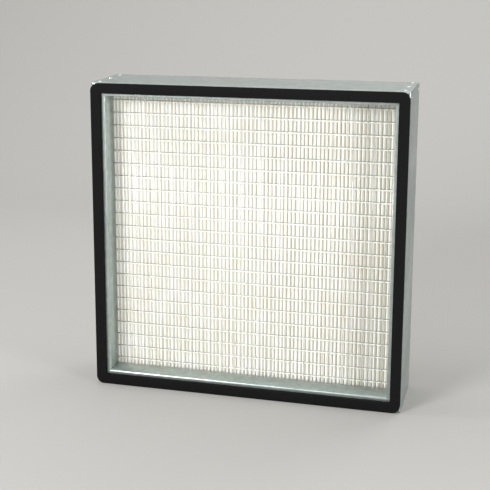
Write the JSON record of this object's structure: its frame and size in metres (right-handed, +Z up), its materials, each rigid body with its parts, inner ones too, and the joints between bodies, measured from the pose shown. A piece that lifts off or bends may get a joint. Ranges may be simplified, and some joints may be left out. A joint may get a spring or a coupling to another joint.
{
  "type": "hepa filter panel",
  "caption": "Square galvanised steel casing holding a pleated glass paper pack behind a welded wire guard, with a flat black gasket on the front flange",
  "frame": {"origin": "middle of the foot print of the whole panel, on the plane it stands on", "axes": "+Z up, -Y out of the gasket side, +X to the right seen from the gasket side"},
  "size_m": [0.6122, 0.158, 0.6111],
  "materials": {
    "casing_steel": "galvanised, satin",
    "angle_steel": "galvanised, satin",
    "rivet_aluminium": "plain",
    "gasket_rubber": "matt",
    "wire_steel": "zinc coated wire",
    "glass_paper": "matt",
    "thread_glue": "hot melt glue",
    "sealant": "cast polyurethane"
  },
  "bodies": {
    "root": {"casing_top": "casing_steel", "casing_bottom": "casing_steel", "casing_left": "casing_steel", "casing_right": "casing_steel", "corner_angles": "angle_steel", "corner_rivets": "rivet_aluminium", "gasket": "gasket_rubber", "guard_wires_down": "wire_steel", "guard_wires_across": "wire_steel", "media": "glass_paper", "threads_front": "thread_glue", "threads_rear": "thread_glue", "sealant": "sealant"}
  },
  "joints": []
}
